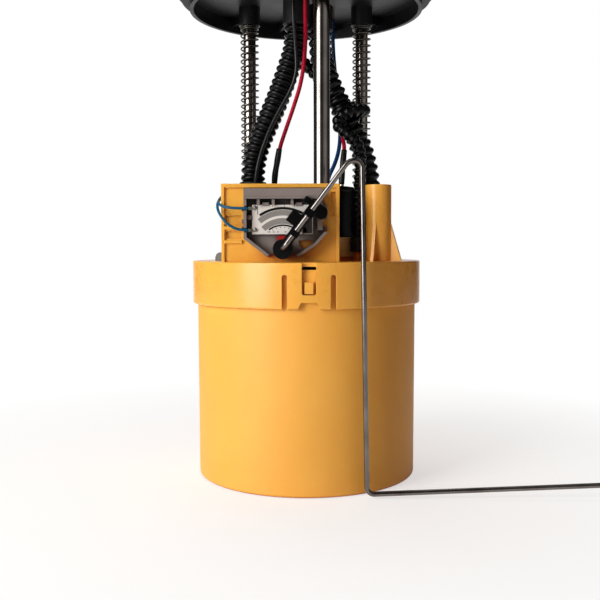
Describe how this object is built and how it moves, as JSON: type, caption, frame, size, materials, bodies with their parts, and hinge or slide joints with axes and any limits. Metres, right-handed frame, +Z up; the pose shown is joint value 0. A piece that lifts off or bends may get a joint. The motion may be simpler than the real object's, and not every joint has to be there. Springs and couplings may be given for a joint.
{
  "type": "fuel lift pump",
  "caption": "Round plastic reservoir bucket holding an electric pump, hung from a tank flange on sprung guide rods, with a float arm level sender, hoses and wires.",
  "frame": {"origin": "on the reservoir bucket's axis, on the plane of the foot ring that stands on the tank's floor", "axes": "+Z up towards the tank flange; the level sender faces -Y and its float arm reaches out towards +X"},
  "size_m": [0.259, 0.137, 0.285],
  "materials": {
    "amber_acetal": "satin moulded",
    "ivory_acetal": "matt moulded",
    "black_nylon": "matt moulded",
    "grey_nylon": "matt moulded",
    "red_acetal": "satin moulded",
    "black_rubber": "matt",
    "grey_rubber": "matt",
    "float_foam": "closed-cell foam, matt",
    "ceramic": "printed ceramic",
    "zinc_steel": "zinc plated",
    "bright_steel": "ground",
    "spring_steel": "drawn",
    "lamination_steel": "stamped",
    "ferrite": "ground",
    "die_cast": "as cast",
    "copper": "enamelled",
    "tinned_brass": "tin plated",
    "carbon": "pressed carbon",
    "strainer_mesh": "woven nylon",
    "black_hose": "corrugated nylon",
    "red_wire": "insulated",
    "black_wire": "insulated",
    "blue_wire": "insulated"
  },
  "bodies": {
    "reservoir": {"reservoir_bucket": "amber_acetal", "reservoir_cap": "amber_acetal", "vent_valve": "grey_rubber", "pump_holder_ring": "ivory_acetal", "pump_isolator": "black_rubber", "pump_top_cover": "black_nylon", "pump_terminals": "tinned_brass", "pump_can": "zinc_steel", "pump_inlet_cover": "die_cast", "pump_chamber": "die_cast", "pump_end_cap": "black_nylon", "lower_bearing": "carbon", "upper_bearing": "carbon", "magnets": "ferrite", "brushes": "carbon", "brush_springs": "spring_steel", "outlet_valve_stop": "black_nylon", "inlet_strainer": "strainer_mesh", "foot_valve_cage": "black_nylon", "jet_pump_tube": "black_nylon", "jet_pump_nozzle": "black_nylon", "rod_bushes": "black_nylon", "sender_carrier": "grey_nylon", "resistor_card": "ceramic", "sender_terminals": "tinned_brass", "pivot_bush": "red_acetal", "sender_plug": "black_nylon", "sender_wires": "blue_wire", "lower_hose_cuffs": "black_rubber"},
    "rotor": {"impeller": "black_nylon", "armature_shaft": "bright_steel", "armature_core": "lamination_steel", "armature_windings": "copper", "commutator": "copper"},
    "outlet_valve": {"outlet_valve_poppet": "black_nylon", "outlet_valve_spring": "spring_steel"},
    "foot_valve": {"foot_valve_disc": "black_rubber"},
    "float_arm": {"wiper_arm": "black_nylon", "wiper_contacts": "tinned_brass", "float_wire": "bright_steel", "float_push_nut": "spring_steel"},
    "float_body": {"float": "float_foam"},
    "flange": {"flange_plate": "black_nylon", "flange_seal": "black_rubber", "feed_stub": "black_nylon", "return_stub": "black_nylon", "bleed_stub": "black_nylon", "connector_pins": "tinned_brass", "front_guide_rod": "bright_steel", "rear_guide_rods": "bright_steel", "rod_clips": "spring_steel", "upper_hose_cuffs": "black_rubber", "left_spring": "spring_steel", "right_spring": "spring_steel", "feed_hose": "black_hose", "return_hose": "black_hose", "bleed_hose": "black_hose", "supply_wires": "red_wire", "return_wires": "black_wire", "wire_sleeves": "black_rubber"}
  },
  "joints": [
    {"name": "flange_height", "type": "slide", "parent": "reservoir", "child": "flange", "axis": [0, 0, -1], "range_m": [0, 0.04], "stiffness_N_per_m": 300, "springref_m": -0.04, "deforming": ["left_spring", "right_spring", "feed_hose", "return_hose", "bleed_hose", "supply_wires", "return_wires", "wire_sleeves"]},
    {"name": "float_arm_swing", "type": "hinge", "parent": "reservoir", "child": "float_arm", "pos_m": [-0.0115, -0.0525, 0.1186], "axis": [0, -1, 0], "range_deg": [0, 62]},
    {"name": "float_turn", "type": "hinge", "parent": "float_arm", "child": "float_body", "pos_m": [0.172, -0.043, 0.0076], "axis": [0, 1, 0], "continuous": true},
    {"name": "rotor_spin", "type": "hinge", "parent": "reservoir", "child": "rotor", "pos_m": [0, 0, 0.073], "axis": [0, 0, 1], "continuous": true},
    {"name": "outlet_valve_lift", "type": "slide", "parent": "reservoir", "child": "outlet_valve", "axis": [0, 0, 1], "range_m": [0, 0.002], "stiffness_N_per_m": 15, "springref_m": -0.004, "deforming": ["outlet_valve_spring"]},
    {"name": "foot_valve_lift", "type": "slide", "parent": "reservoir", "child": "foot_valve", "axis": [0, 0, 1], "range_m": [0, 0.0015]}
  ]
}
